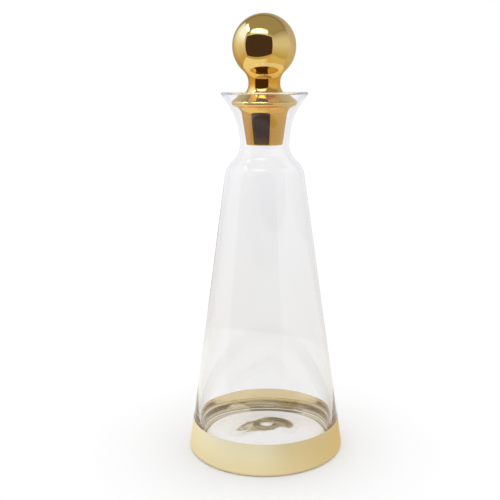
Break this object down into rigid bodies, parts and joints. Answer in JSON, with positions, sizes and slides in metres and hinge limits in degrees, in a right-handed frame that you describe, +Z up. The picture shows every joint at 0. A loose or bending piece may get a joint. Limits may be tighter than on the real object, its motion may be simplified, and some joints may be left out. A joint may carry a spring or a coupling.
{
  "type": "decanter",
  "caption": "Clear glass decanter with a conical body, waisted neck and flared mouth, a gilded band round its foot, and a gilded ball stopper that lifts out.",
  "frame": {"origin": "centre of the ring that the bottle stands on, at table level", "axes": "+Z up along the axis that every piece is turned about; X and Y are free round it"},
  "size_m": [0.102, 0.102, 0.2803],
  "materials": {
    "clear_glass": "fire-polished clear glass",
    "satin_gold": "satin pale gold film",
    "stopper_glass": "clear pressed glass",
    "polished_gold": "mirror gold film"
  },
  "bodies": {
    "bottle": {"glass_body": "clear_glass", "gold_base_band": "satin_gold"},
    "stopper": {"stopper_core": "stopper_glass", "stopper_gold_skin": "polished_gold"}
  },
  "joints": [
    {"name": "stopper_lift", "type": "slide", "parent": "bottle", "child": "stopper", "axis": [0, 0, 1], "range_m": [0, 0.07]}
  ]
}
